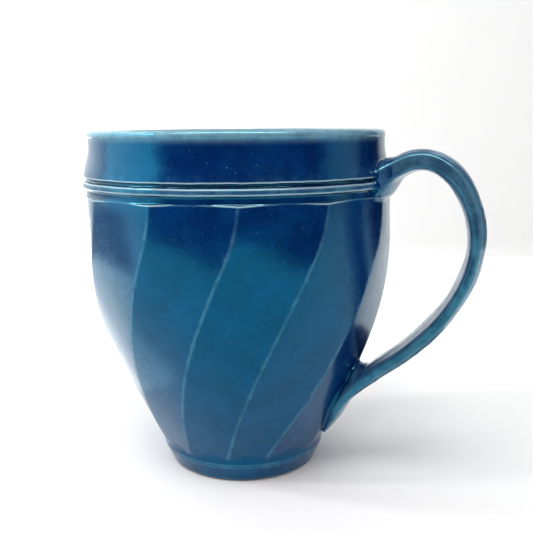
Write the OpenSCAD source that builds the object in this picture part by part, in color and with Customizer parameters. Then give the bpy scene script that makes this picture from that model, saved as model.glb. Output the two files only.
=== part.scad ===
// Faceted stoneware shaving mug with a pulled strap handle.
// Units mm, +Z up, handle towards +X.
// Origin: on the cup's axis, in the plane the foot ring stands on.

/* [Cup] */
// height from the foot to the crest of the lip
mug_h = 100; // [94:1:106]
// diameter of the belly over the facet ridges
belly_d = 90.8; // [87:0.2:95]
// diameter of the ring the mug stands on
foot_d = 44.4; // [42:0.2:47]
// width of the standing ring of the foot
foot_ring_w = 3.8; // [3:0.2:5]
// depth of the hollow under the foot
foot_hollow = 3; // [2:0.25:3.5]
// thickness of the floor, inside glaze to foot hollow
floor_t = 5; // [4.5:0.25:6]
// thickness of the wall at the belly, glaze included
wall_t = 4.2; // [3.8:0.1:4.8]
// thickness of the rounded lip, glaze included
lip_t = 3.4; // [3:0.1:3.8]

/* [Facets and bands] */
// number of panels cut round the belly
facet_n = 12; // [10:1:14]
// depth of a panel's middle below the ridges beside it
facet_depth = 0.75; // [0.3:0.05:1]
// how far the ridges lean round the cup, degrees per mm of height
facet_twist = 0.57; // [0.3:0.01:0.7]
// height of the top of the panels
band_z = 82; // [81:0.25:83]
// depth of the two turned grooves
groove_d = 0.75; // [0.5:0.05:0.9]

/* [Glaze] */
// thickness of the glaze coats
glaze_t = 0.4; // [0.3:0.05:0.5]
// height of the bare clay left at the bottom of the foot
bare_h = 0.5; // [0.4:0.1:1]

/* [Handle] */
// reach of the strap beyond the belly, outside face
reach = 27.1; // [25:0.5:30]
// width of the strap at its middle
strap_w = 12; // [11:0.5:14]
// thickness of the strap at its middle
strap_t = 5.6; // [5:0.2:6.4]
// width of the strap where it meets the cup at the top
root_w = 15.6; // [14.5:0.2:17]
// width of the pressed tail near the foot
tail_w = 13.6; // [12.5:0.2:15]

/* [Hidden] */
$fn = 96;

kz = mug_h / 100;
belly_r = belly_d / 2;
foot_r = foot_d / 2;
foot_top_z = 8.5 * kz;
foot_top_r = foot_r + 3.3;
lip_r = belly_r - 2;
lip_c = lip_r - lip_t / 2;
band_top = band_z * kz;
floor_z = foot_hollow + floor_t;
panel_a = 360 / facet_n;
panel_steps = 4;
ring_n = facet_n * panel_steps;
belly_steps = 24;

clay_col = "Sienna";
glaze_col = "SteelBlue";
liner_col = "CadetBlue";

// point and direction on a cubic curve
function bez(p, t) =
    pow(1 - t, 3) * p[0] + 3 * pow(1 - t, 2) * t * p[1] + 3 * (1 - t) * t * t * p[2] + pow(t, 3) * p[3];
function bez_dir(p, t) =
    pow(1 - t, 2) * (p[1] - p[0]) + 2 * (1 - t) * t * (p[2] - p[1]) + t * t * (p[3] - p[2]);
function unit(v) = v / norm(v);

// arc of n steps about [cr, cz] from angle a0 to a1
function arc(cr, cz, rad, a0, a1, n) =
    [for (i = [0 : n]) [cr + rad * cos(a0 + (a1 - a0) * i / n), cz + rad * sin(a0 + (a1 - a0) * i / n)]];

// ---- cup outside, skin = how far below the glaze surface ----

belly_curve = [
    [foot_top_r, foot_top_z],
    [belly_r - 3.5, 39.2 * kz],
    [belly_r + 1, 56.7 * kz],
    [belly_r - 0.15, band_top]
];

// angle of the first ridge at a height: leaning over the belly, upright at the bands
function ridge_a(z) = -14.5 + facet_twist * (min(z / kz, 76) - 57) + 0.12 * max(z / kz - 76, 0);

// the creases die out over the last few mm below the bands
function crease(z) = facet_depth * min(1, 0.35 + 0.65 * max(0, band_top - z) / (6 * kz));

// radius across one panel: ridge at both edges, gently convex between
function panel_r(r, z, k) =
    let (s = 2 * abs((k % panel_steps) / panel_steps - 0.5))
    r + 0.15 - crease(z) * (r / belly_r) * (1 - pow(s, 1.7));

function belly_ring(t, skin) =
    let (p = bez(belly_curve, t))
    let (d = unit(bez_dir(belly_curve, t)))
    let (q = [p[0] - skin * d[1], p[1] + skin * d[0] * (1 - t)])
    [for (k = [0 : ring_n - 1])
        let (a = ridge_a(q[1]) + 360 * k / ring_n)
        let (r = panel_r(q[0], q[1], k))
        [r * cos(a), r * sin(a), q[1]]];

// closed skin from rows of n points, capped by fans at both ends
module skin_solid(rows) {
    n = len(rows[0]);
    m = len(rows);
    pts = concat([for (row = rows) each row], [middle(rows[0]), middle(rows[m - 1])]);
    sides = [for (j = [0 : m - 2]) for (k = [0 : n - 1]) each quad_faces(j, k, n)];
    low = [for (k = [0 : n - 1]) [m * n, k, (k + 1) % n]];
    high = [for (k = [0 : n - 1]) [m * n + 1, (m - 1) * n + (k + 1) % n, (m - 1) * n + k]];
    polyhedron(points = pts, faces = concat(sides, low, high));
}
function middle(row) = [for (i = [0 : 2]) sum_of(row, i) / len(row)];
function sum_of(row, i) = [for (p = row) p[i]] * [for (p = row) 1];
function quad_faces(j, k, n) =
    let (a = j * n + k)
    let (b = j * n + (k + 1) % n)
    [[a, a + n, b], [b, a + n, b + n]];

module belly(skin) {
    t_end = 1 - skin / (75.9 * kz);
    skin_solid([for (i = [0 : belly_steps]) belly_ring(t_end * i / belly_steps, skin)]);
}

// turned bands, collar and lip
module collar(skin) {
    zb = band_top;
    gr = belly_r - 0.2;
    bead = 0.35;
    lip_rad = lip_t / 2;
    side = [
        [gr - groove_d - skin, zb - 3],
        [gr - groove_d - skin, zb + 1.1],
        [gr - groove_d * 0.75 - skin, zb + 1.8],
        [gr - 0.1 - skin, zb + 2.3]
    ];
    bead_side = [for (i = [0 : 5]) [gr + bead * sin(36 * i) - skin, zb + 2.4 + 1.5 * i / 5]];
    groove_side = [for (i = [1 : 5]) [gr - 0.1 - groove_d * 0.8 * sin(30 * i) - skin, zb + 3.9 + 1.4 * i / 6]];
    neck = [
        [gr - 0.25, zb + 5.4],
        [gr - 0.6, zb + 9],
        [lip_r - 0.35, zb + 10],
        [lip_r - 0.1, mug_h - 4]
    ];
    neck_side = [for (i = [0 : 8]) bez(neck, i / 8) - [skin, 0]];
    lip_top = arc(lip_c, mug_h - lip_rad, lip_rad - skin, 0, 90, 6);
    rotate_extrude()
        polygon(concat([[0, zb - 3]], side, bead_side, groove_side, neck_side, lip_top, [[0, mug_h - skin]]));
}

// turned foot, from z0 up into the belly
module foot(skin, z0) {
    slope = (foot_top_r - foot_r) / foot_top_z;
    edge = 0.5;
    low = max(z0, edge);
    rotate_extrude()
        polygon([
            [0, z0],
            [foot_r - skin - max(0, edge - z0), z0],
            [foot_r - skin + slope * low, low],
            [foot_r - skin + slope * 5.5, 5.5],
            [foot_top_r - skin - 0.7, 6.3],
            [foot_top_r - skin - 0.4, foot_top_z + 0.4],
            [foot_top_r - skin - 1.4, foot_top_z + 3],
            [0, foot_top_z + 3]
        ]);
}

module outside(skin, z0) {
    union() {
        belly(skin);
        collar(skin);
        foot(skin, z0);
    }
}

// ---- cup inside, grow = how far behind the glaze surface ----

module inside(grow) {
    wall_r = belly_r - wall_t;
    bowl = [
        [15, floor_z],
        [26, floor_z],
        [wall_r, 48 * kz],
        [wall_r, 72 * kz]
    ];
    neck = [
        [wall_r, 72 * kz],
        [wall_r, 84 * kz],
        [lip_r - lip_t, 90 * kz],
        [lip_r - lip_t, mug_h - lip_t / 2]
    ];
    lip_rad = lip_t / 2;
    low = [for (i = [0 : 14]) inset(bowl, i / 14, grow)];
    high = [for (i = [1 : 8]) inset(neck, i / 8, grow)];
    crest = arc(lip_c, mug_h - lip_rad, lip_rad - grow, 172, 90, 6);
    rotate_extrude()
        polygon(concat([[0, floor_z - grow]], low, high, crest, [[lip_c, mug_h + 2], [0, mug_h + 2]]));
}
function inset(c, t, grow) =
    let (d = unit(bez_dir(c, t)))
    bez(c, t) + grow * [d[1], -d[0]];

// ---- handle ----

hx = belly_r;
strap_top = [[hx - 3.4, 84.2 * kz], [hx + 13.5, 102.3 * kz], [hx + reach - 2.5, 83.5 * kz], [hx + reach - 2.5, 71.4 * kz]];
strap_low = [strap_top[3], [hx + reach - 2.5, 59.2 * kz], [hx + 15.7, 45.3 * kz], [hx - 0.3, 33.6 * kz]];
strap_tail = [strap_low[3], [hx - 15.5, 21.7 * kz], [hx - 11.9, 21.4 * kz], [hx - 17.6, 11.4 * kz]];

// half of the strap's section, [across, out]: domed outside, ridge at each edge, narrower inside
half_section = [[0, 0.5], [0.42, 0.46], [0.78, 0.34], [1, 0.14], [0.93, -0.14], [0.74, -0.42], [0.4, -0.5], [0, -0.5]];
full_section = concat(half_section, [for (i = [6 : -1 : 1]) [-half_section[i][0], half_section[i][1]]]);

// one section set square across a curve in the XZ plane
function station(c, t, w, th, lift) =
    let (p = bez(c, t))
    let (d = unit(bez_dir(c, t)))
    let (out = [-d[1], d[0]])
    [for (s = full_section)
        let (o = lift + s[1] * th)
        [p[0] + o * out[0], -s[0] * w / 2, p[1] + o * out[1]]];

function blend(a, b, t) = a + (b - a) * (3 * t * t - 2 * t * t * t);

// pulled strap, skin = how far below the glaze surface
module strap(skin) {
    g = 2 * skin;
    top = [for (i = [0 : 12])
        let (t = i / 12)
        station(strap_top, t, blend(strap_w + 1.6, strap_w, min(1, t * 2)) - g, blend(strap_t + 1.2, strap_t - 0.5, t) - g, 0)];
    low = [for (i = [1 : 10])
        let (t = i / 10)
        station(strap_low, t, strap_w - g, blend(strap_t - 0.5, strap_t + 0.2, t) - g, 0)];
    tail = [for (i = [1 : 9])
        let (t = i / 9)
        station(strap_tail, t, blend(strap_w, tail_w - 2.6, t) - g, blend(strap_t + 0.2, 3, t) - g, -0.6 * t)];
    skin_solid(concat(top, low, tail));
}

// coil blended round the strap at the top joint
module top_coil(skin) {
    g = 2 * skin;
    skin_solid([for (i = [0 : 6])
        let (t = i / 6)
        station(strap_top, 0.05 + 0.27 * t, blend(root_w + 1.6, strap_w - 1.4, t) - g, blend(strap_t + 5.4, strap_t - 1, t) - g, -0.9 * (1 - t))]);
}

// coil pressed into the crotch and out under the tail
module low_coil(skin) {
    g = 2 * skin;
    skin_solid([for (i = [0 : 8])
        let (t = i / 8)
        station(t < 0.25 ? strap_low : strap_tail, t < 0.25 ? 0.86 + 0.56 * t : (t - 0.25) / 0.8,
            (t < 0.25 ? blend(strap_w - 1.6, tail_w, t * 4) : blend(tail_w, tail_w - 0.8, (t - 0.25) / 0.75)) - g,
            (t < 0.25 ? blend(strap_t - 1.6, strap_t + 1.8, t * 4) : blend(strap_t + 1.8, 3, (t - 0.25) / 0.75)) - g,
            t < 0.25 ? -1.7 * t * 4 : -1.7)]);
}

// ---- pieces ----

module clay_cup() {
    color(clay_col)
    difference() {
        outside(glaze_t, 0);
        inside(glaze_t);
        translate([0, 0, -1])
            cylinder(h = 1 + foot_hollow, r1 = foot_r - foot_ring_w + 0.4, r2 = foot_r - foot_ring_w - 1);
    }
}

module liner_glaze() {
    color(liner_col)
    difference() {
        intersection() {
            inside(glaze_t);
            translate([0, 0, -1])
                cylinder(h = mug_h + 1, r = lip_r + 5);
        }
        inside(0);
    }
}

module outer_glaze() {
    color(glaze_col)
    difference() {
        outside(0, bare_h);
        outside(glaze_t, 0);
        translate([0, 0, mug_h - lip_t])
            cylinder(h = lip_t + 2, r = lip_c);
        strap(glaze_t);
        top_coil(glaze_t);
        low_coil(glaze_t);
    }
}

module clay_handle() {
    color(clay_col)
    difference() {
        strap(glaze_t);
        outside(glaze_t, 0);
    }
}

module upper_root() {
    color(clay_col)
    difference() {
        top_coil(glaze_t);
        strap(glaze_t);
        outside(glaze_t, 0);
    }
}

module lower_root() {
    color(clay_col)
    difference() {
        low_coil(glaze_t);
        strap(glaze_t);
        outside(glaze_t, 0);
    }
}

module handle_glaze() {
    color(glaze_col)
    difference() {
        union() {
            strap(0);
            top_coil(0);
            low_coil(0);
        }
        strap(glaze_t);
        top_coil(glaze_t);
        low_coil(glaze_t);
        outside(0, bare_h);
    }
}

clay_cup();
liner_glaze();
outer_glaze();
clay_handle();
upper_root();
lower_root();
handle_glaze();
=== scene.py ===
"""Looks of the faceted stoneware shaving mug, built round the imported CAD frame.

Lengths inside the shape functions are in millimetres; meshes are made in metres.
Angles are in degrees about the cup's axis, 0 towards the handle (+X).
"""

import math

import bpy
import numpy as np
from mathutils import Matrix, Vector


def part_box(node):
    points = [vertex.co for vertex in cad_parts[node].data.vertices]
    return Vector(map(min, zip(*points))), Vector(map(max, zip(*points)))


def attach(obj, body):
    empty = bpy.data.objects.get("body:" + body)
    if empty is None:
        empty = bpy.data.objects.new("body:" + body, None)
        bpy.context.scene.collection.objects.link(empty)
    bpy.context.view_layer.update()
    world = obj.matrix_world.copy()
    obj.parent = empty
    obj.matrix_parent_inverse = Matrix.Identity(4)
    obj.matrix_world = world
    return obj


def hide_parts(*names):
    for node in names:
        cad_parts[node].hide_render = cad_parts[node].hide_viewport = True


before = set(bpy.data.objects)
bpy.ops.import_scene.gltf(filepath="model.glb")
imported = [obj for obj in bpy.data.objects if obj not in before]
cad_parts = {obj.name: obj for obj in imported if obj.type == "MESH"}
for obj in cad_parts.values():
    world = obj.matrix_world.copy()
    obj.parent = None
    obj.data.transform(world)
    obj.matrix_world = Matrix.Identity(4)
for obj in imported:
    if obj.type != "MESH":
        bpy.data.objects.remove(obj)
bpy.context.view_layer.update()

MM = 0.001

# ---------------------------------------------------------------- driving sizes

# room between the even shapes here and the CAD's box, for the hand's unevenness
BELLY_ROOM = 0.2
STRAP_ROOM = 0.15

coat_low, coat_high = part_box("outer_glaze")
strap_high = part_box("handle_glaze")[1]
cup_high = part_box("clay_cup")[1]
MUG_H = coat_high.z / MM
COAT_FOOT_Z = coat_low.z / MM
BELLY_R = (coat_high.y - coat_low.y) / MM / 2 - BELLY_ROOM
REACH_X = strap_high.x / MM - STRAP_ROOM
GLAZE_T = (coat_high.z - cup_high.z) / MM

FOOT_R = 22.2
FOOT_RING_W = 3.8
FOOT_HOLLOW = 3.0
FOOT_TOP_Z = 8.5
FLOOR_Z = 8.0
FLOOR_R = 15
WALL_T = 4.2
LIP_T = 3.4
LIP_R = BELLY_R - 2.0

# where the panels meet the band, and how far above that each turned line lies
BAND_Z = 82.0
LOW_GROOVE_UP = 1.1
PANEL_END_UP = 1.4
BEAD_UP = 3.15
HIGH_GROOVE_UP = 4.7
COLLAR_UP = 4.75

# the photograph's camera, fitted to the rim, band and foot: degrees and mm
VIEW_AZIMUTH = 24.0
CAMERA_HEIGHT = 100.9
CAMERA_DISTANCE = 224.15
CAMERA_SIDE = 8.44
CAMERA_PITCH = 10.61
CAMERA_ROLL = -0.418
CAMERA_LENS = 50.77

# the cup was trimmed a little off centre, so it leans: sideways shift per mm of height
LEAN = 0.0118
LEAN_PIVOT_Z = 80.0

# ---------------------------------------------------------------- small maths


def bezier(points, t):
    """Points on a cubic curve at the values t."""
    p = np.array(points, float)
    t = np.asarray(t, float)[:, None]
    return (1 - t) ** 3 * p[0] + 3 * (1 - t) ** 2 * t * p[1] + 3 * (1 - t) * t * t * p[2] + t**3 * p[3]


def smooth_min(a, b, k):
    """The smaller of two distances, rounded over a width of k where they meet."""
    h = np.maximum(k - np.abs(a - b), 0) / k
    return np.minimum(a, b) - h * h * k / 4


def smooth_max(a, b, k):
    """The larger of two distances, rounded in the same way."""
    return -smooth_min(-a, -b, k)


def smooth_step(low, high, x):
    """A soft step from 0 at low to 1 at high; it falls instead if high is the smaller."""
    t = np.clip((x - low) / (high - low), 0, 1)
    return t * t * (3 - 2 * t)


SWELL_WAVES = 7


def swell(points, size, seed):
    """A soft, repeatable unevenness of about unit height, with waves about size mm long."""
    rng = np.random.default_rng(seed)
    total = np.zeros(len(points))
    for _ in range(SWELL_WAVES):
        way = rng.normal(size=3)
        way *= 2 * math.pi / size * rng.uniform(0.7, 1.4) / np.linalg.norm(way)
        total += np.sin(points @ way + rng.uniform(0, 2 * math.pi))
    return total / math.sqrt(SWELL_WAVES)


def from_polar(r, a, z):
    """Points from a radius, an angle in radians and a height."""
    return np.stack([r * np.cos(a), r * np.sin(a), z], -1)


# ---------------------------------------------------------------- the cup's outside

belly_curve = bezier(
    [
        (FOOT_R + 3.3, FOOT_TOP_Z),
        (BELLY_R - 3.45, 39.2),
        (BELLY_R + 1.05, 56.7),
        (BELLY_R - 0.1, BAND_Z),
    ],
    np.linspace(0, 1, 160),
)
collar_curve = bezier(
    [
        (BELLY_R - 0.35, 87.2),
        (BELLY_R - 0.85, 90.6),
        (LIP_R - 0.5, 92.0),
        (LIP_R - 0.05, MUG_H - 1.6),
    ],
    np.linspace(0, 1, 60),
)

# widths of the twelve panels, as the potter spaced them, from the ridge just in front of the handle
PANEL_WIDTHS = [30.1, 30.4, 29.9, 30.6, 29.8, 30.6, 30.3, 30.7, 30.1, 28.5, 29.0, 30.0]
FIRST_RIDGE = -15.4
RIDGES = FIRST_RIDGE + np.concatenate([[0], np.cumsum(PANEL_WIDTHS)])
PANELS = len(PANEL_WIDTHS)
PANEL_DEPTH = 0.78
RIDGE_SOFTNESS = 0.6

# the ridges turn and waver between these heights; the turn is in degrees per mm and slackens high up
RIDGE_HEIGHTS = (6, 84)
MID_HEIGHT = 57
TURN_PER_MM = 0.57
SLACK_HEIGHT = 68
SLACK = 0.018


def twist(z):
    """How far the ridges have turned at a height, against their place at mid height."""
    z = np.clip(z, *RIDGE_HEIGHTS)
    return TURN_PER_MM * (z - MID_HEIGHT) - SLACK * np.maximum(z - SLACK_HEIGHT, 0) ** 2


def waver(a, z):
    """The hand's unevenness in the ridges' lines."""
    z = np.clip(z, *RIDGE_HEIGHTS)
    drift = 0.7 * np.sin(np.radians(3 * a + 2.3 * z)) + 0.4 * np.sin(np.radians(5 * a - 4.1 * z))
    off_tail = (a - FIRST_RIDGE + 180) % 360 - 180
    near_tail = np.exp(-((off_tail / 22) ** 2))
    return drift - 5 * near_tail * np.clip((26 - z) / 17, 0, 1)


def panel_place(angle, z):
    """Where a point lies across its panel: 0 at one ridge, 1 at the next."""
    a = angle - twist(z)
    a = a - waver(a - waver(a, z), z)
    a = (a - RIDGES[0]) % 360 + RIDGES[0]
    k = np.clip(np.searchsorted(RIDGES, a, side="right") - 1, 0, PANELS - 1)
    return (a - RIDGES[k]) / (RIDGES[k + 1] - RIDGES[k])


def belly_radius(z):
    """The belly's curve, carried on in a straight line below its lowest point."""
    low = belly_curve[0]
    low_slope = 0.62
    r = np.interp(z, belly_curve[:, 1], belly_curve[:, 0])
    return np.where(z < low[1], low[0] - low_slope * (low[1] - z), r)


def panel_radius(u, z):
    """The faceted belly: ridges on the belly's curve, each panel gently hollowed between them."""
    r = belly_radius(z)
    half = r * math.radians(180 / PANELS)
    from_ridge = half * (1 - np.abs(2 * u - 1))
    x = (np.sqrt(from_ridge**2 + RIDGE_SOFTNESS**2) - RIDGE_SOFTNESS) / half
    fade = 0.85 + 0.15 * smooth_step(BAND_Z + 0.5, BAND_Z - 8, z)
    depth = PANEL_DEPTH * np.sqrt(r / BELLY_R) * fade
    return r - 0.03 - depth * (1 - (1 - x) ** 2)


def foot_radius(z):
    """The turned foot: a rounded edge, a sloping ring and the step under the panels."""
    heights = [0, 0.25, 0.6, 3, 5.0, 5.8, 6.6, 7.4, 8.5, 12]
    radii = [-0.55, -0.15, 0.15, 1.2, 2.15, 2.38, 2.44, 2.56, 2.85, 3.1]
    return FOOT_R + np.interp(z, heights, radii)


def band_radius(z):
    """Bead and collar above the belly."""
    across = np.minimum(np.abs(z - BAND_Z - BEAD_UP), 1.12)
    bead = BELLY_R - 0.04 - 0.46 * across**3.4
    collar = np.interp(z, collar_curve[:, 1], collar_curve[:, 0])
    return np.where(z > BAND_Z + COLLAR_UP, collar, bead)


def outside_radius(angle, z, u=None):
    """Radius of the glazed outside below the lip, at an angle and a height."""
    if u is None:
        u = panel_place(angle, z)
    a = np.radians(angle)
    ripple = 0.06 * np.sin(3 * a + 1.0) + 0.03 * np.sin(17 * a) + 0.022 * np.sin(41 * a + 2.0)
    level = z + ripple + 0.014 * np.sin(73 * a)
    r = np.where(z > BAND_Z + PANEL_END_UP, band_radius(z), panel_radius(u, z))
    groove_low = BELLY_R - 0.9 + 0.8 * (np.abs(level - BAND_Z - LOW_GROOVE_UP) / 1.3) ** 4.5
    groove_high = BELLY_R - 1.0 + 0.75 * (np.abs(level - BAND_Z - HIGH_GROOVE_UP) / 0.68) ** 3
    r = smooth_min(smooth_min(r, groove_low, 0.14), groove_high, 0.12)
    r = np.where(z < 13, smooth_max(r, foot_radius(z), 0.3), r)
    points = from_polar(r, a, z + 0 * r).reshape(-1, 3)
    uneven = 0.03 * swell(points, 34, 3) + 0.008 * swell(points, 9, 4)
    furthest = BELLY_R + 0.17
    return smooth_min(r + uneven.reshape(r.shape), furthest, 0.1)


def cup_distance(points):
    """Signed distance, near the surface, from the cup's glazed outside."""
    rho = np.hypot(points[:, 0], points[:, 1])
    angle = np.degrees(np.arctan2(points[:, 1], points[:, 0]))
    z = points[:, 2]
    slope = (belly_radius(z + 1) - belly_radius(z - 1)) / 2
    return (rho - outside_radius(angle, z)) / np.sqrt(1 + slope**2)


def bend_of(distance, points, h=0.3):
    """Mean bend of a surface at its points, per mm: above 0 on a crest, below 0 in a hollow."""
    total = -6 * distance(points)
    for axis in np.eye(3) * h:
        total += distance(points + axis) + distance(points - axis)
    return total / h**2


# ---------------------------------------------------------------- meshes


def leaning(points):
    """The lean of the whole mug, in the direction of the photograph's left and right."""
    a = math.radians(VIEW_AZIMUTH)
    shift = LEAN * (LEAN_PIVOT_Z - points[:, 2])
    return points + shift[:, None] * np.array([math.cos(a), math.sin(a), 0])


def make_piece(name, points, faces, attributes=None):
    """A mesh object from points in mm, with one float attribute for each named array."""
    mesh = bpy.data.meshes.new(name)
    face_list = faces.tolist() if isinstance(faces, np.ndarray) else faces
    mesh.from_pydata((leaning(points) * MM).tolist(), [], face_list)
    mesh.validate()
    for key, values in (attributes or {}).items():
        layer = mesh.attributes.new(key, "FLOAT", "POINT")
        layer.data.foreach_set("value", np.asarray(values, np.float32))
    mesh.shade_smooth()
    piece = bpy.data.objects.new(name, mesh)
    bpy.context.scene.collection.objects.link(piece)
    return piece


def ring_faces(rows, columns, closed=False):
    """Quads between rows of points that go round the axis, outward if the rows go up."""
    j, k = np.meshgrid(np.arange(rows if closed else rows - 1), np.arange(columns), indexing="ij")
    after, beside = (j + 1) % rows, (k + 1) % columns
    quads = [j * columns + k, j * columns + beside, after * columns + beside, after * columns + k]
    return np.stack(quads, -1).reshape(-1, 4)


def capped_faces(rows, columns):
    """Quads between rows of points, with one face over the first row and one over the last."""
    faces = ring_faces(rows, columns).tolist()
    faces.append(list(range(columns))[::-1])
    faces.append([(rows - 1) * columns + k for k in range(columns)])
    return faces


PANEL_COLUMNS = 32


def column_angles(z):
    """Angles of the columns of points at each height, and where they lie across their panels.

    The columns follow the ridges and crowd towards them.
    """
    x = np.arange(PANEL_COLUMNS) / PANEL_COLUMNS
    u = x - 0.6 * np.sin(2 * math.pi * x) / (2 * math.pi)
    base = (RIDGES[:PANELS, None] + np.array(PANEL_WIDTHS)[:, None] * u).ravel()
    across = np.tile(u, PANELS)
    z = np.asarray(z, float)[:, None]
    return base + twist(z) + waver(base, z), across + 0 * z


def crest(skin, start, end, steps):
    """Points [radius, height] over the rounded lip, from one angle to the other."""
    a = np.radians(np.linspace(start, end, steps))
    half = LIP_T / 2
    c, s = np.cos(a), np.sin(a)
    r = LIP_R - half + (half - skin) * np.sign(c) * np.abs(c) ** 0.75
    z = MUG_H - half - 0.03 + (half - skin) * np.abs(s) ** 0.75
    return r, z


def lip_wave(a):
    """The lip's dips all the way round, 0 or below, at angles in radians."""
    return -0.09 * (1 + np.sin(2 * a + 0.6)) - 0.03 * (1 + np.sin(7 * a))


def thin_at_lip(z):
    """How far the glaze has thinned towards the lip."""
    return smooth_step(MUG_H - 3.8, MUG_H - 0.2, z)


def outer_rows(skin, low_z, fine):
    """Rows of points up the outside to the crest of the lip, skin mm under the glaze's surface."""
    step = 1 if fine else 3
    heights = np.concatenate(
        [
            np.arange(low_z, 12, 0.36 * step),
            np.arange(12, 79.5, 0.7 * step),
            np.arange(79.5, 88.6, 0.12 * step),
            np.arange(88.6, MUG_H - LIP_T / 2, 0.5 * step),
        ]
    )
    angle, u = column_angles(heights)
    z = heights[:, None] + 0 * angle
    r = outside_radius(angle, z, u) - skin
    lip_r, lip_z = crest(skin, 0, 90, 16 if fine else 8)
    lip_angle, _ = column_angles(lip_z)
    r = np.vstack([r, lip_r[:, None] + 0 * lip_angle])
    z = np.vstack([z, lip_z[:, None] + lip_wave(np.radians(lip_angle))])
    return from_polar(r, np.radians(np.vstack([angle, lip_angle])), z)


def inner_profile(skin):
    """Points [radius, height] down the inside, from the crest of the lip to the middle of the floor."""
    wall = BELLY_R - WALL_T
    lip_r, lip_z = crest(skin, 90, 176, 14)
    neck_curve = [(LIP_R - LIP_T, MUG_H - LIP_T / 2), (LIP_R - LIP_T, 90), (wall, 84), (wall, 72)]
    bowl_curve = [(wall, 72), (wall, 48), (26, FLOOR_Z), (FLOOR_R, FLOOR_Z)]
    neck = bezier(neck_curve, np.linspace(0.03, 1, 40))
    bowl = bezier(bowl_curve, np.linspace(0, 1, 110)[1:])
    floor_r = np.linspace(FLOOR_R, 0.4, 30)[1:]
    floor = np.stack([floor_r, np.full(len(floor_r), FLOOR_Z)], -1)
    line = np.vstack([neck, bowl, floor])
    way = np.gradient(line, axis=0)
    way /= np.linalg.norm(way, axis=1)[:, None]
    line = line + skin * np.stack([-way[:, 1], way[:, 0]], -1)
    return np.concatenate([lip_r, line[:, 0]]), np.concatenate([lip_z, line[:, 1]])


def inner_rows(skin):
    """Rows of points down the inside, with the throwing rings left by the fingers."""
    r, z = inner_profile(skin)
    angle, _ = column_angles(np.full(len(z), BAND_Z + 8))
    a = np.radians(angle)
    near_lip = smooth_step(MUG_H - 8, MUG_H - 1, z)[:, None]
    r, z = r[:, None] + 0 * a, z[:, None] + 0 * a + lip_wave(a) * near_lip
    floor_edge_z = FLOOR_Z + 1.5
    in_from_edge = FLOOR_R - np.minimum(r, FLOOR_R)
    walk = np.where(z > floor_edge_z, z, floor_edge_z - in_from_edge * 0.8)
    rings = np.sin(2 * math.pi * walk / 4.6 + a) + 0.4 * np.sin(2 * math.pi * walk / 1.9 + 2 * a)
    rings = rings * 0.09 * smooth_step(MUG_H - 3, MUG_H - 12, z)
    on_floor = smooth_step(FLOOR_Z + 6, FLOOR_Z + 0.5, z)
    r = np.maximum(r + rings * (1 - on_floor), 0.3)
    z = z + (rings + 0.5 * np.exp(-((r / 5) ** 2))) * on_floor
    return from_polar(r, a, z)


def closed_coat(name, outside, behind, bend, thin_glaze_and_highlight):
    """A glaze coat: its outer face, and the face on the clay behind it, closed at both edges."""
    rows = np.concatenate([outside, behind[::-1]])
    count, columns = rows.shape[:2]
    points = rows.reshape(-1, 3)
    rest = np.zeros(len(points) - len(bend))
    values = {"bend": np.concatenate([bend, rest]), "thin_glaze_and_highlight": np.concatenate([thin_glaze_and_highlight, rest])}
    return make_piece(name, points, ring_faces(count, columns, closed=True), values)


def make_outer_coat():
    """The glaze outside the cup, from just above the foot to the crest of the lip."""
    outside = outer_rows(0, COAT_FOOT_Z, fine=True)
    behind = outer_rows(GLAZE_T, COAT_FOOT_Z, fine=False)
    points = outside.reshape(-1, 3)
    bend = bend_of(cup_distance, points)
    near_lip = smooth_step(MUG_H - 1.8, MUG_H - 1.4, points[:, 2])
    thin_glaze_and_highlight = thin_at_lip(points[:, 2])
    return closed_coat("outer_glaze_coat", outside, behind, bend * (1 - near_lip), thin_glaze_and_highlight)


def make_liner_coat():
    """The glaze inside the cup, a closed shell from the crest of the lip over the floor."""
    seen, behind = inner_rows(0), inner_rows(GLAZE_T)
    rows = np.concatenate([seen[::-1], behind])
    count, columns = rows.shape[:2]
    points = rows.reshape(-1, 3)
    seen_z = seen[::-1].reshape(-1, 3)[:, 2]
    thin_glaze_and_highlight = np.zeros(len(points))
    thin_glaze_and_highlight[: len(seen_z)] = thin_at_lip(seen_z)
    faces = [face[::-1] for face in capped_faces(count, columns)]
    return make_piece("liner_glaze_coat", points, faces, {"thin_glaze_and_highlight": thin_glaze_and_highlight})


def make_clay_cup():
    """The clay itself: unglazed at the foot, under the glaze everywhere else."""
    outer = outer_rows(GLAZE_T, 0.0, fine=False)
    inner = inner_rows(GLAZE_T)
    inner_r = FOOT_R - FOOT_RING_W
    under = [
        (0.5, FOOT_HOLLOW + 0.35),
        (4, FOOT_HOLLOW + 0.3),
        (9, FOOT_HOLLOW + 0.1),
        (inner_r - 2.4, FOOT_HOLLOW),
        (inner_r - 1.0, FOOT_HOLLOW - 0.35),
        (inner_r - 0.3, 1.2),
        (inner_r, 0.35),
        (inner_r + 0.5, 0.0),
    ]
    angle, _ = column_angles([0.0])
    a = np.radians(angle[0])
    rows = []
    for r, z in under:
        turned = 0.05 * np.sin(3 * a + r) if z > 0.4 else 0 * a
        rows.append(from_polar(r + turned, a, z + turned))
    rows = np.concatenate([np.array(rows), outer, inner])
    return make_piece("cup_clay_body", rows.reshape(-1, 3), capped_faces(*rows.shape[:2]))


# ---------------------------------------------------------------- the handle

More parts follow.
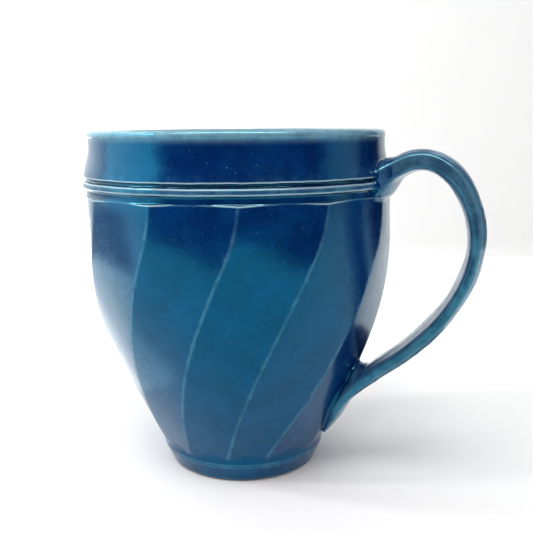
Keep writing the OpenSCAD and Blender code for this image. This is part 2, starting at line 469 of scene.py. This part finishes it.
# the strap's middle line in the XZ plane, in three curves down from the collar
STRAP_INSET = 2.58
strap_x = REACH_X - STRAP_INSET
strap_arch = [(BELLY_R - 3.4, 84.2), (BELLY_R + 13.5, 102.3), (strap_x, 83.5), (strap_x, 71.4)]
strap_fall = [strap_arch[-1], (strap_x, 59.2), (BELLY_R + 15.7, 45.3), (BELLY_R - 0.3, 33.6)]
strap_tail = [strap_fall[-1], (BELLY_R - 15.5, 21.7), (BELLY_R - 11.9, 21.4), (BELLY_R - 17.6, 11.4)]
strap_line = np.vstack(
    [
        bezier(strap_arch, np.linspace(0, 1, 160)),
        bezier(strap_fall, np.linspace(0, 1, 160))[1:],
        bezier(strap_tail, np.linspace(0, 1, 90))[1:],
    ]
)
strap_steps = np.linalg.norm(np.diff(strap_line, axis=0), axis=1)
strap_run = np.concatenate([[0], np.cumsum(strap_steps)])
strap_way = np.gradient(strap_line, axis=0)
strap_way /= np.linalg.norm(strap_way, axis=1)[:, None]
STRAP_LENGTH = strap_run[-1]

# degrees that the strap's section is turned, between its roots
STRAP_TURN = 7.0

# shares of the strap's length, and the sizes there
HALF_WIDTHS = (
    (0, 0.05, 0.09, 0.14, 0.4, 0.75, 0.85, 0.92, 1),
    (7.7, 7.2, 6.4, 6.0, 5.9, 6.0, 6.7, 6.6, 4.4),
)
THICKNESSES = (
    (0, 0.05, 0.08, 0.13, 0.24, 0.4, 0.5, 0.62, 0.8, 0.88, 0.95, 1),
    (8, 7, 6.7, 6.3, 6.2, 5.5, 5.6, 6.0, 5.9, 5.0, 3.9, 1.6),
)
DOME_DROPS = (
    (0, 0.07, 0.14, 0.22, 0.36, 0.76, 0.84, 0.9, 1),
    (2.6, 1.7, 1.25, 1.3, 1.6, 1.6, 0.9, 0.25, 0.2),
)


def strap_place(x, z):
    """How far points of the XZ plane lie along the strap, out from its middle line, and past its end."""
    run, out, past = np.empty(len(x)), np.empty(len(x)), np.empty(len(x))
    batch = 20000
    for start in range(0, len(x), batch):
        part = slice(start, start + batch)
        q = np.stack([x[part], z[part]], -1)
        gap = ((q[:, None, :] - strap_line[None]) ** 2).sum(-1)
        i = gap.argmin(1)
        off = q - strap_line[i]
        way = strap_way[i]
        along = (off * way).sum(-1)
        run[part] = np.clip(strap_run[i] + along, 0, STRAP_LENGTH)
        out[part] = off[:, 1] * way[:, 0] - off[:, 0] * way[:, 1]
        past[part] = np.where(i == len(strap_line) - 1, along, np.where(i == 0, -along, 0))
    return run, out, past


def strap_sizes(run):
    """Half width, thickness and how far the dome drops at its edge, along the strap."""
    return [np.interp(run / STRAP_LENGTH, *table) for table in (HALF_WIDTHS, THICKNESSES, DOME_DROPS)]


def strap_turned(run, out, y):
    """Distances out from and across the strap's section, with its turn."""
    turn = np.radians(STRAP_TURN) * smooth_step(8, 30, run) * smooth_step(0.82, 0.55, run / STRAP_LENGTH)
    return out * np.cos(turn) + y * np.sin(turn), y * np.cos(turn) - out * np.sin(turn)


def strap_distance(run, out, y, past):
    """Signed distance from the pulled strap: domed outside, a soft corner at each side, crowned inside."""
    half_w, thick, drop = strap_sizes(run)
    out, y = strap_turned(run, out, y)
    wide = np.abs(y)
    pulled = 0.035 * np.sin(2 * math.pi * y / 1.9 + run / 23) * smooth_step(4, 14, run)
    dome_slope = 2 * drop * wide / half_w**2
    top = (out - (thick / 2 - drop * (wide / half_w) ** 2) + pulled) / np.sqrt(1 + dome_slope**2)
    depth = 0.4 + 1.5 * smooth_step(8, 36, run)
    crown = depth * np.minimum(wide / half_w, 1.05) ** 4
    crown_slope = 4 * depth / half_w * np.minimum(wide / half_w, 1.05) ** 3
    bottom = (-out - thick / 2 + crown) / np.sqrt(1 + crown_slope**2)
    corner_out = thick / 2 - drop
    lean_in = -0.14
    side = (wide - half_w - lean_in * (out - corner_out)) / math.sqrt(1 + lean_in**2)
    shape = smooth_max(smooth_max(top, side, 0.45), bottom, 0.5)
    return smooth_max(shape, past - 0.5, 1.5)


def pad_distance(points, centre, radii):
    """Signed distance, near the surface, from a pressed lump of clay."""
    q = (points - np.array(centre)) / np.array(radii)
    size = np.linalg.norm(q, axis=1)
    return (size - 1) * min(radii)


# the lumps of clay pressed round the upper and the lower root: middle and radii
KNUCKLE = ((BELLY_R + 0.1, 0, 86.6), (2.6, 8.1, 5.2))
CROTCH = ((BELLY_R - 7.6, 0, 30.2), (2.4, 4.6, 3.0))


def handle_body(points):
    """Strap with the clay pressed round both of its ends."""
    run, out, past = strap_place(points[:, 0], points[:, 2])
    strap = strap_distance(run, out, points[:, 1], past)
    knuckle = pad_distance(points, *KNUCKLE)
    shape = smooth_min(strap, knuckle, 1.6)
    crotch = pad_distance(points, *CROTCH)
    return smooth_min(shape, crotch, 1.6)


def handle_distance(points):
    """The handle's glazed surface, run into the cup's with a soft fillet and just under it elsewhere."""
    cup = cup_distance(points)
    body = handle_body(points)
    body -= 0.05 * swell(points, 14, 8) + 0.012 * swell(points, 3.2, 9)
    blend = 0.9 + 0.7 * smooth_step(60, 30, points[:, 2])
    joined = smooth_min(body, cup, blend) + 0.045
    return np.maximum(np.maximum(joined, -(cup + 0.9)), body - blend - 0.4)


def surface_net(field, low, step):
    """A quad mesh of where samples change sign: one point in each cell that the surface crosses."""
    inside = field < 0
    cells = np.array(field.shape) - 1
    total, count = np.zeros((*cells, 3)), np.zeros(cells)
    edges = []
    for axis in range(3):
        here = [slice(None)] * 3
        there = [slice(None)] * 3
        here[axis], there[axis] = slice(0, -1), slice(1, None)
        at = np.argwhere(inside[tuple(here)] != inside[tuple(there)])
        end = at.copy()
        end[:, axis] += 1
        fa, fb = field[tuple(at.T)], field[tuple(end.T)]
        crossing = at.astype(float)
        crossing[:, axis] += fa / (fa - fb)
        first, second = [(axis + 1) % 3, (axis + 2) % 3]
        around = []
        for d1, d2 in ((0, 0), (-1, 0), (-1, -1), (0, -1)):
            cell = at.copy()
            cell[:, first] += d1
            cell[:, second] += d2
            around.append(cell)
            np.add.at(total, tuple(cell.T), crossing)
            np.add.at(count, tuple(cell.T), 1)
        edges.append((around, fa < 0))
    used = np.argwhere(count > 0)
    index = np.full(cells, -1)
    index[tuple(used.T)] = np.arange(len(used))
    points = low + step * total[tuple(used.T)] / count[tuple(used.T)][:, None]
    faces = []
    for around, rising in edges:
        quad = np.stack([index[tuple(c.T)] for c in around], -1)
        faces.append(np.where(rising[:, None], quad, quad[:, ::-1]))
    return points, np.concatenate(faces)


def settle(points, distance, rounds=4):
    """Moves points onto the surface where the distance is 0."""
    h = 0.04
    for _ in range(rounds):
        f = distance(points)
        slope = np.stack([(distance(points + axis) - f) / h for axis in np.eye(3) * h], -1)
        size = np.maximum((slope**2).sum(-1), 0.2)
        move = np.clip(f / size, -0.15, 0.15)
        points = points - move[:, None] * slope
    return points


def net_of(distance, low, high, step, near=None):
    """The surface of a distance, found on a grid between two corners and settled onto it."""
    low = np.array(low)
    grid = np.stack(np.meshgrid(*[np.arange(low[i], high[i], step) for i in range(3)], indexing="ij"), -1)
    points = grid.reshape(-1, 3)
    far = 3.0
    field = np.full(len(points), far)
    chosen = np.ones(len(points), bool) if near is None else near(points)
    field[chosen] = distance(points[chosen])
    net, faces = surface_net(field.reshape(grid.shape[:3]), low, step)
    return settle(net, distance), faces


def near_strap(points):
    """Which grid points lie round the handle, outside the cup's hollow."""
    x, z = points[:, 0], points[:, 2]
    reach, hollow_r = 8.5, 20
    gap = np.full(len(points), np.inf)
    for line_x, line_z in strap_line[::6]:
        gap = np.minimum(gap, (x - line_x) ** 2 + (z - line_z) ** 2)
    return (gap < reach**2) & (np.hypot(x, points[:, 1]) > hollow_r)


def handle_tints(net):
    """How far the handle's glaze has thinned, with painted highlight along the strap's corner and dome,
    painted reflection along its inner edge and painted shade on its flat sides, at points on it.
    """
    run, out, _ = strap_place(net[:, 0], net[:, 2])
    half_w, thick, drop = strap_sizes(run)
    out, across = strap_turned(run, out, net[:, 1])
    wide = np.abs(across)
    beside = wide / half_w
    above_corner = out - thick / 2 + drop
    above_inside = out + thick / 2
    off_cup = smooth_step(5, 12, run) * smooth_step(0.8, 0.66, run / STRAP_LENGTH)

    # painted highlight: pale lines along the strap's outer corner and across its dome, where highlights
    # run
    corner_line = np.exp(-((np.hypot(wide - half_w, above_corner) / 0.42) ** 2))
    dome_line = np.exp(-((half_w - wide - 1.5) ** 2)) * smooth_step(-0.1, 0.3, above_corner)
    thin_glaze_and_highlight = 0.85 * corner_line * smooth_step(6, 14, run)
    thin_glaze_and_highlight += 0.5 * dome_line * smooth_step(16, 40, run)

    # painted reflection: a near white along the strap's inner edge, standing in for the white room it
    # reflects
    inner_edge = smooth_step(0.4, 0.6, beside) * smooth_step(1.5, 1.0, above_inside)
    painted_reflection = inner_edge * off_cup * smooth_step(24, 42, run)

    # painted shade: the strap's flat sides are darkened where they reflect the dark room
    on_side = smooth_step(0.8, 0.93, beside) * smooth_step(1.1, 1.6, above_inside)
    painted_side_shade = on_side * smooth_step(-0.2, -0.7, above_corner) * off_cup
    return {"thin_glaze_and_highlight": thin_glaze_and_highlight, "painted_reflection": painted_reflection, "painted_side_shade": painted_side_shade}


def make_handle_coat():
    """The glaze over the strap and both roots, in one skin that runs into the cup's."""
    low = (BELLY_R - 21.5, -12.6, 6.0)
    high = (REACH_X + 1.2, 12.6, 98.0)
    net, faces = net_of(handle_distance, low, high, 0.36, near_strap)
    bend = bend_of(lambda p: smooth_min(handle_body(p), cup_distance(p), 1.2), net, 0.35)
    return make_piece("handle_glaze_coat", net, faces, {"bend": bend, **handle_tints(net)})


def under_glaze(body, points):
    """Signed distance from the clay under a glazed body, which ends just inside the cup's wall."""
    return np.maximum(body + GLAZE_T, -(cup_distance(points) + 0.7))


def strap_clay_distance(points):
    """Signed distance from the strap's clay."""
    run, out, past = strap_place(points[:, 0], points[:, 2])
    return under_glaze(strap_distance(run, out, points[:, 1], past), points)


def make_handle_clay():
    """The strap's clay, under the coat and as far as the cup's clay."""
    low = (BELLY_R - 21.5, -9, 6.0)
    high = (REACH_X + 1.2, 9, 97.0)
    return make_piece("handle_clay", *net_of(strap_clay_distance, low, high, 0.8, near_strap))


def make_root_clay(name, lump):
    """A lump of clay pressed round one of the strap's roots."""
    centre, radii = np.array(lump)
    corners = centre - radii - 1, centre + radii + 1
    net, faces = net_of(lambda p: under_glaze(pad_distance(p, *lump), p), *corners, 0.45)
    return make_piece(name, net, faces)


# ---------------------------------------------------------------- materials


class Nodes:
    """Short calls for building a material's nodes."""

    def __init__(self, name):
        self.material = bpy.data.materials.new(name)
        self.material.use_nodes = True
        self.tree = self.material.node_tree
        self.tree.nodes.clear()
        self.output = self.tree.nodes.new("ShaderNodeOutputMaterial")
        self.shader = self.tree.nodes.new("ShaderNodeBsdfPrincipled")
        self.give(self.output.inputs["Surface"], self.shader.outputs[0])

    def give(self, socket, value):
        """Links a socket to another node's output, or sets a number or colour on it."""
        if isinstance(value, bpy.types.NodeSocket):
            self.tree.links.new(value, socket)
        elif socket.type == "RGBA":
            socket.default_value = (*value, 1)
        else:
            socket.default_value = value

    def set(self, node, **values):
        """Gives a node's sockets their values, by the sockets' names."""
        for key, value in values.items():
            self.give(node.inputs[key.replace("_", " ")], value)

    def coordinates(self):
        return self.tree.nodes.new("ShaderNodeTexCoord").outputs["Object"]

    def attribute(self, name):
        node = self.tree.nodes.new("ShaderNodeAttribute")
        node.attribute_name = name
        return node.outputs["Fac"]

    def noise(self, scale, detail=4.0, roughness=0.55, distortion=0.0):
        """Clouds about 1 / scale metres wide, from 0 to 1."""
        node = self.tree.nodes.new("ShaderNodeTexNoise")
        self.set(node, Vector=self.coordinates(), Scale=scale, Detail=detail)
        self.set(node, Roughness=roughness, Distortion=distortion)
        return node.outputs["Fac"]

    def dots(self, scale, size, softness=0.5):
        """Small scattered round spots, 1 at their middles."""
        node = self.tree.nodes.new("ShaderNodeTexVoronoi")
        self.set(node, Vector=self.coordinates(), Scale=scale)
        return self.ramp(node.outputs["Distance"], size * (1 - softness), size, 1, 0)

    def ramp(self, value, low, high, out_low=0.0, out_high=1.0):
        """A value's soft step, from out_low at low to out_high at high."""
        node = self.tree.nodes.new("ShaderNodeMapRange")
        node.interpolation_type = "SMOOTHSTEP"
        self.set(node, Value=value, From_Min=low, From_Max=high, To_Min=out_low, To_Max=out_high)
        return node.outputs["Result"]

    def math(self, operation, a, b=0.0):
        node = self.tree.nodes.new("ShaderNodeMath")
        node.operation = operation
        for socket, value in zip(node.inputs, (a, b)):
            self.give(socket, value)
        return node.outputs[0]

    def mix(self, factor, a, b):
        """Two colours mixed; a Mix node's own sockets for those are 0, 6, 7 and 2."""
        node = self.tree.nodes.new("ShaderNodeMix")
        node.data_type = "RGBA"
        for index, value in ((0, factor), (6, a), (7, b)):
            self.give(node.inputs[index], value)
        return node.outputs[2]

    def bump(self, height, distance, strength=1.0):
        node = self.tree.nodes.new("ShaderNodeBump")
        self.set(node, Height=height, Distance=distance, Strength=strength)
        return node.outputs["Normal"]


def glaze_material(name, deep, middle, bright):
    """Glossy blue glaze: mottled and specked, dark where it pools and pale where it breaks on crests,
    whitened on the sharpest crests as painted highlight; on the handle, painted highlight along the corner
    and dome, painted reflection along the inner edge and painted shade on the flat sides.
    """
    worn_blue = (0.16, 0.40, 0.52)
    # near white on the sharpest crests: the glaze breaking there, whitened further as a painted highlight
    bare_and_highlight_blue = (0.36, 0.46, 0.52)
    pale = (0.22, 0.42, 0.50)
    # near white for the painted reflection along the handle's inner edge
    reflected_white = (0.62, 0.67, 0.72)
    n = Nodes(name)
    bend = n.attribute("bend")

    cloud = n.ramp(n.noise(110, 5, 0.6, 0.4), 0.32, 0.68)
    grain = n.ramp(n.noise(1300, 3, 0.6), 0.3, 0.7)
    color = n.mix(cloud, middle, bright)
    color = n.mix(n.math("MULTIPLY", grain, 0.3), color, deep)
    # darker where the glaze pools in hollows, and darker still on the handle's flat sides, which is
    # painted shade
    pooled_and_side_shade = n.math("MAXIMUM", n.ramp(bend, -0.2, -1.6), n.attribute("painted_side_shade"))
    color = n.mix(n.math("MULTIPLY", pooled_and_side_shade, 0.9), color, deep)

    uneven = n.math("MULTIPLY", n.math("SUBTRACT", n.noise(500, 3), 0.5), 0.25)
    rough_bend = n.math("ADD", bend, uneven)
    patches = n.ramp(n.noise(240, 3), 0.35, 0.6, 0.12, 0.25)
    worn = n.math("MULTIPLY", n.ramp(rough_bend, 0.05, 0.32), patches)
    # sharpest crests, such as the bead's top, paled where the glaze breaks and whitened as a painted
    # highlight
    bare_and_highlight = n.math("MULTIPLY", n.ramp(rough_bend, 0.7, 3.2), 0.85)
    # paler where the glaze thins towards the lip, and painted highlight along the handle's corner and dome
    thinned_and_highlight = n.math("MULTIPLY", n.attribute("thin_glaze_and_highlight"), n.ramp(n.noise(420, 4), 0.2, 0.6, 0.5, 0.85))
    # painted reflection along the handle's inner edge, mottled
    painted_reflection = n.math("MULTIPLY", n.attribute("painted_reflection"), n.ramp(n.noise(350, 3), 0.3, 0.6, 0.8, 1.0))
    for factor, tint in ((worn, worn_blue), (bare_and_highlight, bare_and_highlight_blue), (thinned_and_highlight, pale), (painted_reflection, reflected_white)):
        color = n.mix(factor, color, tint)
    specks = n.math("MULTIPLY", n.dots(1000, 0.2), n.ramp(n.noise(260, 2), 0.48, 0.62))
    color = n.mix(n.math("MULTIPLY", specks, 0.14), color, pale)

    gloss = n.ramp(n.noise(300, 4), 0.3, 0.7, 0.13, 0.2)
    n.set(n.shader, Base_Color=color, Roughness=gloss, IOR=1.8, Specular_Tint=(0.05, 0.74, 0.95))
    waves = n.math("MULTIPLY", n.noise(300, 3), 0.2)
    pits = n.math("MULTIPLY", n.noise(1300, 2), 0.3)
    height = n.math("SUBTRACT", n.math("ADD", waves, pits), n.math("MULTIPLY", specks, 0.3))
    n.set(n.shader, Normal=n.bump(height, 0.00009))
    return n.material


def clay_material(name):
    """Bare brown stoneware, sandy, with iron specks."""
    n = Nodes(name)
    sand = n.ramp(n.noise(700, 6, 0.7), 0.3, 0.7)
    color = n.mix(sand, (0.17, 0.10, 0.06), (0.33, 0.22, 0.14))
    color = n.mix(n.math("MULTIPLY", n.dots(420, 0.22), 0.7), color, (0.05, 0.03, 0.02))
    n.set(n.shader, Base_Color=color, Roughness=n.ramp(n.noise(250, 3), 0.3, 0.7, 0.72, 0.9))
    n.set(n.shader, Normal=n.bump(n.noise(900, 5, 0.7), 0.00015))
    return n.material


def plain_material(name, color):
    """Matt paper."""
    n = Nodes(name)
    n.set(n.shader, Base_Color=color, Roughness=1, Specular_IOR_Level=0)
    return n.material


# ---------------------------------------------------------------- stage, light and camera


def photo_way(azimuth):
    """Unit vector on the floor, so many degrees to the right of the way from the mug to the camera."""
    a = math.radians(VIEW_AZIMUTH + azimuth)
    return Vector((math.sin(a), -math.cos(a), 0))


def make_floor():
    """White table that sweeps up into a slightly greyer wall behind the mug."""
    wall, bend_r, half = 0.345, 0.012, 4.0
    bend_steps = 8
    table_steps = 3
    line = [(-half, 0.0), (-0.6, 0.0), (-0.2, 0.0), (0.1, 0.0)]
    first_wall_face = len(line) + table_steps
    for i in range(bend_steps + 1):
        a = math.radians(90 * i / bend_steps)
        line.append((wall - bend_r + bend_r * math.sin(a), bend_r - bend_r * math.cos(a)))
    line += [(wall, 0.5), (wall, half)]
    right = photo_way(90)
    away = -photo_way(0)
    points = [right * side + away * y + Vector((0, 0, z)) for side in (-half, half) for y, z in line]
    n = len(line)
    faces = [(i, n + i, n + i + 1, i + 1) for i in range(n - 1)]
    mesh = bpy.data.meshes.new("floor_and_wall")
    mesh.from_pydata(points, [], faces)
    mesh.materials.append(plain_material("pale_table", (0.93, 0.93, 0.93)))
    mesh.materials.append(plain_material("pale_wall", (0.81, 0.81, 0.805)))
    for face in mesh.polygons:
        face.material_index = int(face.index >= first_wall_face)
    floor = bpy.data.objects.new("floor_and_wall", mesh)
    bpy.context.scene.collection.objects.link(floor)


# dim stretches of the room: from and to what azimuth, radius, low and top edge in metres, and shade
DIM_SIDES = {
    "dim_front": (-50, 66, 0.34, 0.001, 0.5, 0.0),
    "dim_right": (99, 131, 0.33, 0.001, 0.5, 0.0),
    "dim_left": (-128, -84, 0.26, 0.001, 0.06, 0.55),
    "dim_upper_wall": (150, 205, 0.33, 0.24, 1.0, 0.15),
}


def make_dim_side(name, start, end, radius, low, top, shade):
    """A dim stretch of the room, on a cylinder round the mug."""
    steps = 16
    points, faces = [], []
    for i in range(steps + 1):
        way = photo_way(start + (end - start) * i / steps) * radius
        points += [(way.x, way.y, low), (way.x, way.y, top)]
    for i in range(steps):
        faces.append((2 * i, 2 * i + 2, 2 * i + 3, 2 * i + 1))
    make_dim_card(name, points, faces, shade)


def make_handle_shade(name):
    """The shade under the handle, on a card just above the table."""
    lift = 0.0015
    corners = []
    for side, away in ((0.045, 0.006), (0.1, 0.006), (0.1, 0.06), (0.045, 0.06)):
        corner = photo_way(90) * side - photo_way(0) * away
        corners.append((corner.x, corner.y, lift))
    make_dim_card(name, corners, [(0, 1, 2, 3)], 0.0)


def make_dim_card(name, points, faces, shade):
    """A dim part of the room that only reflections see."""
    mesh = bpy.data.meshes.new(name)
    mesh.from_pydata(points, [], faces)
    card = bpy.data.objects.new(name, mesh)
    bpy.context.scene.collection.objects.link(card)
    mesh.materials.append(plain_material(name, (shade, shade, shade)))
    card.visible_camera = False
    card.visible_diffuse = False
    card.visible_shadow = False


def area_light(name, azimuth, elevation, distance, width, height, watts):
    """A softbox aimed at the mug's middle, from an azimuth counted from the camera and an elevation."""
    light = bpy.data.lights.new(name, "AREA")
    light.energy = watts
    light.shape, light.size, light.size_y = "RECTANGLE", width, height
    lamp = bpy.data.objects.new(name, light)
    bpy.context.scene.collection.objects.link(lamp)
    e = math.radians(elevation)
    back = photo_way(azimuth) * math.cos(e) + Vector((0, 0, math.sin(e)))
    mug_middle = Vector((0, 0, 0.05))
    lamp.location = mug_middle + back * distance
    lamp.rotation_euler = back.to_track_quat("Z", "Y").to_euler()
    return lamp


def make_light():
    """A bright room, lamps that make the shadows, and glows that only the glaze reflects."""
    world = bpy.data.worlds.new("studio")
    world.use_nodes = True
    world.node_tree.nodes["Background"].inputs["Color"].default_value = (1, 1, 1, 1)
    world.node_tree.nodes["Background"].inputs["Strength"].default_value = 0.63
    bpy.context.scene.world = world

    area_light("overhead", -5, 63, 1.0, 0.5, 0.4, 3.9).visible_glossy = False
    strip = area_light("ceiling_strip", -4, 64, 0.95, 1.25, 0.18, 60.0)
    strip.data.color = (1.0, 0.25, 0.21)
    low_glow = area_light("low_glow", -150, 0, 0.25, 0.12, 0.1, 0.12)
    low_glow.location = photo_way(90) * -0.11 - photo_way(0) * 0.205 + Vector((0, 0, 0.045))
    low_glow.rotation_euler = photo_way(-138).to_track_quat("Z", "Y").to_euler()
    high_glow = area_light("high_glow", -135, 45, 0.8, 0.6, 0.4, 2.3)
    table_glow = area_light("table_glow", -112, 0, 0.2, 0.22, 0.2, 0.085)
    table_glow.location = photo_way(-112) * 0.172 + Vector((0, 0, 0.002))
    table_glow.rotation_euler = (math.pi, 0, math.radians(VIEW_AZIMUTH))
    for lamp in (strip, low_glow, high_glow, table_glow):
        lamp.visible_diffuse = False
        lamp.visible_camera = False

    area_light("key", -88, 37, 1.1, 0.1, 0.1, 2.6)
    area_light("side", -71, 36, 1.1, 0.1, 0.1, 2.4)
    window = area_light("window", -90, 12, 1.15, 1.4, 0.8, 6.1)
    window.data.color = (0.5, 0.9, 1.1)
    window.visible_diffuse = False
    wall_light = area_light("wall_light", 0, 0, 0.1, 0.4, 0.4, 1.7)
    wall_light.location = photo_way(-100) * 0.3 + Vector((0, 0, 0.4))
    from_wall = photo_way(0) + photo_way(90) * 0.5 + Vector((0, 0, 0.3))
    wall_light.rotation_euler = from_wall.to_track_quat("Z", "Y").to_euler()


def make_camera():
    """The photograph's camera."""
    data = bpy.data.cameras.new("camera")
    data.sensor_width = 36
    data.lens = CAMERA_LENS
    data.clip_start, data.clip_end = 0.005, 50
    camera = bpy.data.objects.new("camera", data)
    bpy.context.scene.collection.objects.link(camera)
    toward = photo_way(0)
    right = Vector((-toward.y, toward.x, 0))
    place = toward * CAMERA_DISTANCE + right * CAMERA_SIDE + Vector((0, 0, CAMERA_HEIGHT))
    pitch, roll = math.radians(CAMERA_PITCH), math.radians(CAMERA_ROLL)
    forward = -toward * math.cos(pitch) - Vector((0, 0, math.sin(pitch)))
    up = right.cross(forward)
    x_axis = right * math.cos(roll) + up * math.sin(roll)
    y_axis = up * math.cos(roll) - right * math.sin(roll)
    turn = Matrix((x_axis, y_axis, -forward)).transposed()
    camera.matrix_world = Matrix.Translation(place * MM) @ turn.to_4x4()
    bpy.context.scene.camera = camera
    bpy.context.scene.view_settings.view_transform = "Standard"


# ---------------------------------------------------------------- putting it together


def dress(piece, node, material):
    """A piece that stands for a CAD node, in its material."""
    piece.data.materials.clear()
    piece.data.materials.append(material)
    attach(piece, "root")
    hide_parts(node)


make_camera()
make_floor()
for side_name, side in DIM_SIDES.items():
    make_dim_side(side_name, *side)
make_handle_shade("handle_shade")
make_light()

# deep, middle and bright colour of each glaze
OUTSIDE_BLUES = ((0.0002, 0.004, 0.04), (0.0004, 0.015, 0.095), (0.0008, 0.031, 0.14))
INSIDE_BLUES = ((0.0006, 0.008, 0.04), (0.001, 0.02, 0.08), (0.002, 0.035, 0.10))
blue = glaze_material("blue_glaze", *OUTSIDE_BLUES)
inside_blue = glaze_material("liner_glaze", *INSIDE_BLUES)
clay = clay_material("bare_stoneware")

dress(make_outer_coat(), "outer_glaze", blue)
dress(make_liner_coat(), "liner_glaze", inside_blue)
dress(make_clay_cup(), "clay_cup", clay)
dress(make_handle_coat(), "handle_glaze", blue)
dress(make_handle_clay(), "clay_handle", clay)
dress(make_root_clay("upper_root_clay", KNUCKLE), "upper_root", clay)
dress(make_root_clay("lower_root_clay", CROTCH), "lower_root", clay)
